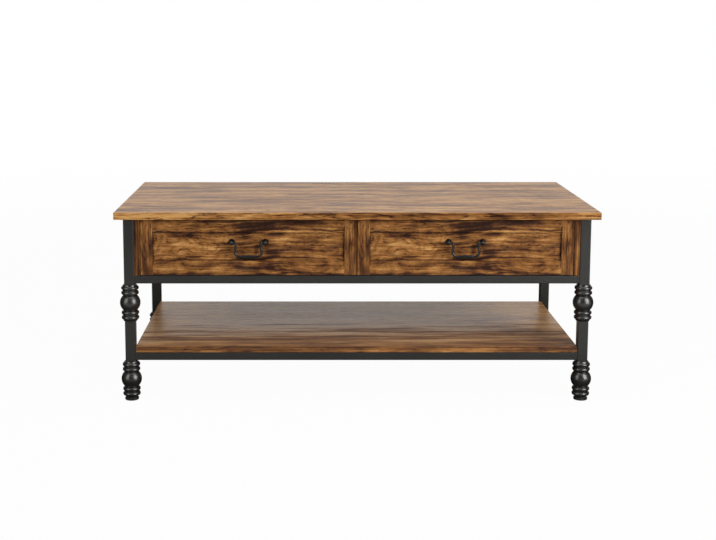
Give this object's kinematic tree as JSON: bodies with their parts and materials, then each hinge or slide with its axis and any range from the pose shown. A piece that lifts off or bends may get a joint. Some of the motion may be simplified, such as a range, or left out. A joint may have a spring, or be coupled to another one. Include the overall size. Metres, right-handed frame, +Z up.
{
  "type": "coffee table",
  "caption": "Rectangular coffee table: wood-look top, drawers on runners with drop bail pulls, open lower shelf, and square steel legs with turned ball-and-ring sections.",
  "frame": {"origin": "on the floor, under the middle of the top", "axes": "+X to the right seen from the drawer side, +Y to the back, +Z up"},
  "size_m": [1.2, 0.6, 0.48],
  "materials": {
    "wood_laminate": "rustic brown wood-grain laminate, satin",
    "drawer_board": "plain brown laminate board, matt",
    "frame_metal": "charcoal black powder coat, satin",
    "pull_metal": "black lacquered metal, semi-gloss",
    "runner_steel": "zinc-plated sheet steel",
    "foot_plastic": "black moulded plastic, matt"
  },
  "bodies": {
    "table": {"back_panel": "wood_laminate", "centre_divider": "wood_laminate", "drawer_left_case_channels": "runner_steel", "drawer_right_case_channels": "runner_steel", "leg_front_left_baluster": "frame_metal", "leg_front_left_foot": "frame_metal", "leg_front_left_glide": "foot_plastic", "leg_front_left_lower_tube": "frame_metal", "leg_front_left_upper_tube": "frame_metal", "leg_front_right_baluster": "frame_metal", "leg_front_right_foot": "frame_metal", "leg_front_right_glide": "foot_plastic", "leg_front_right_lower_tube": "frame_metal", "leg_front_right_upper_tube": "frame_metal", "leg_rear_left_baluster": "frame_metal", "leg_rear_left_foot": "frame_metal", "leg_rear_left_glide": "foot_plastic", "leg_rear_left_lower_tube": "frame_metal", "leg_rear_left_upper_tube": "frame_metal", "leg_rear_right_baluster": "frame_metal", "leg_rear_right_foot": "frame_metal", "leg_rear_right_glide": "foot_plastic", "leg_rear_right_lower_tube": "frame_metal", "leg_rear_right_upper_tube": "frame_metal", "lower_front_rail": "frame_metal", "lower_rear_rail": "frame_metal", "shelf": "wood_laminate", "shelf_side_rail_left": "frame_metal", "shelf_side_rail_right": "frame_metal", "side_panel_left": "wood_laminate", "side_panel_right": "wood_laminate", "tabletop": "wood_laminate", "upper_front_rail": "frame_metal", "upper_rear_rail": "frame_metal"},
    "drawer_left": {"drawer_left_box_back": "drawer_board", "drawer_left_box_floor": "drawer_board", "drawer_left_box_inner_side": "drawer_board", "drawer_left_box_outer_side": "drawer_board", "drawer_left_drawer_channels": "runner_steel", "drawer_left_front_bottom_rail": "wood_laminate", "drawer_left_front_inner_stile": "wood_laminate", "drawer_left_front_outer_stile": "wood_laminate", "drawer_left_front_panel": "wood_laminate", "drawer_left_front_top_rail": "wood_laminate", "drawer_left_pull_posts": "pull_metal"},
    "drawer_right": {"drawer_right_box_back": "drawer_board", "drawer_right_box_floor": "drawer_board", "drawer_right_box_inner_side": "drawer_board", "drawer_right_box_outer_side": "drawer_board", "drawer_right_drawer_channels": "runner_steel", "drawer_right_front_bottom_rail": "wood_laminate", "drawer_right_front_inner_stile": "wood_laminate", "drawer_right_front_outer_stile": "wood_laminate", "drawer_right_front_panel": "wood_laminate", "drawer_right_front_top_rail": "wood_laminate", "drawer_right_pull_posts": "pull_metal"},
    "bail_left": {"drawer_left_pull_bail": "pull_metal"},
    "bail_right": {"drawer_right_pull_bail": "pull_metal"}
  },
  "joints": [
    {"name": "drawer_left_slide", "type": "slide", "parent": "table", "child": "drawer_left", "axis": [0, -1, 0], "range_m": [0, 0.32]},
    {"name": "drawer_right_slide", "type": "slide", "parent": "table", "child": "drawer_right", "axis": [0, -1, 0], "range_m": [0, 0.32]},
    {"name": "bail_left_swing", "type": "hinge", "parent": "drawer_left", "child": "bail_left", "pos_m": [-0.26903, -0.291, 0.40333], "axis": [-1, 0, 0], "range_deg": [-10, 90]},
    {"name": "bail_right_swing", "type": "hinge", "parent": "drawer_right", "child": "bail_right", "pos_m": [0.26903, -0.291, 0.40333], "axis": [-1, 0, 0], "range_deg": [-10, 90]}
  ]
}
